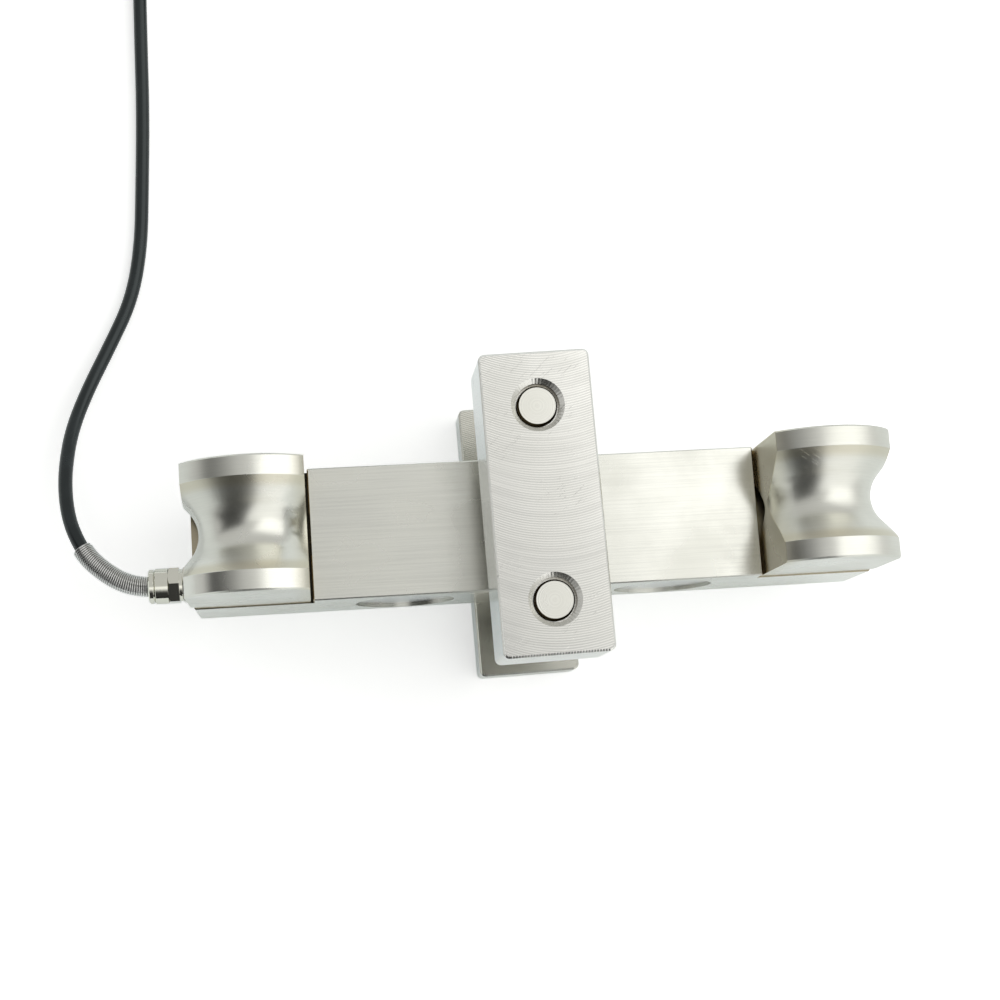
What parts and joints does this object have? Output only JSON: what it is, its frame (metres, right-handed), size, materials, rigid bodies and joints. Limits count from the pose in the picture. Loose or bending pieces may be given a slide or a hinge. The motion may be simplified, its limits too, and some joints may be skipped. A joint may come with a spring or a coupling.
{
  "type": "wire rope tension load cell",
  "caption": "Clamp-on wire rope tension load cell: a steel beam with grooved rope saddles at its ends, clamp bars with long screws across its middle, and a cable gland.",
  "frame": {"origin": "middle of the rest face under the beam's centre, at the outside of the rear clamp bar", "axes": "+X along the beam away from the cable gland, +Y across the beam, +Z from the rear clamp bar to the rope side"},
  "size_m": [0.3391, 0.4519, 0.122],
  "materials": {
    "beam_steel": "nickel plated, fine lengthwise grain",
    "bar_steel": "nickel plated, milled faces with sweeping tool marks",
    "saddle_steel": "nickel plated, turned",
    "cover_steel": "satin",
    "screw_steel": "turned, plated",
    "gland_nickel": "nickel plated, bright",
    "spring_steel": "bright wire",
    "seal_rubber": "matte",
    "cable_jacket": "matte",
    "tie_plastic": "moulded",
    "core_insulation": "smooth",
    "gauge_foil": "foil on film",
    "board_laminate": "laminate"
  },
  "bodies": {
    "root": {"beam_body": "beam_steel", "well_cover_front_left": "cover_steel", "well_cover_front_right": "cover_steel", "well_cover_back_left": "cover_steel", "well_cover_back_right": "cover_steel", "saddle_left": "saddle_steel", "saddle_right": "saddle_steel", "saddle_screws": "screw_steel", "saddle_dowels": "screw_steel", "clamp_rear_bar": "bar_steel", "clamp_front_bar": "bar_steel", "clamp_screws": "screw_steel", "gland_body": "gland_nickel", "gland_oring": "seal_rubber", "gland_seal": "seal_rubber", "gland_nut": "gland_nickel", "cable": "cable_jacket", "cable_tail": "cable_jacket", "cable_entry": "cable_jacket", "cable_coil": "cable_jacket", "spring_guard": "spring_steel", "cable_ties": "tie_plastic", "cable_leads": "core_insulation", "strain_gauges": "gauge_foil", "terminal_board": "board_laminate", "internal_leads": "core_insulation"}
  },
  "joints": []
}
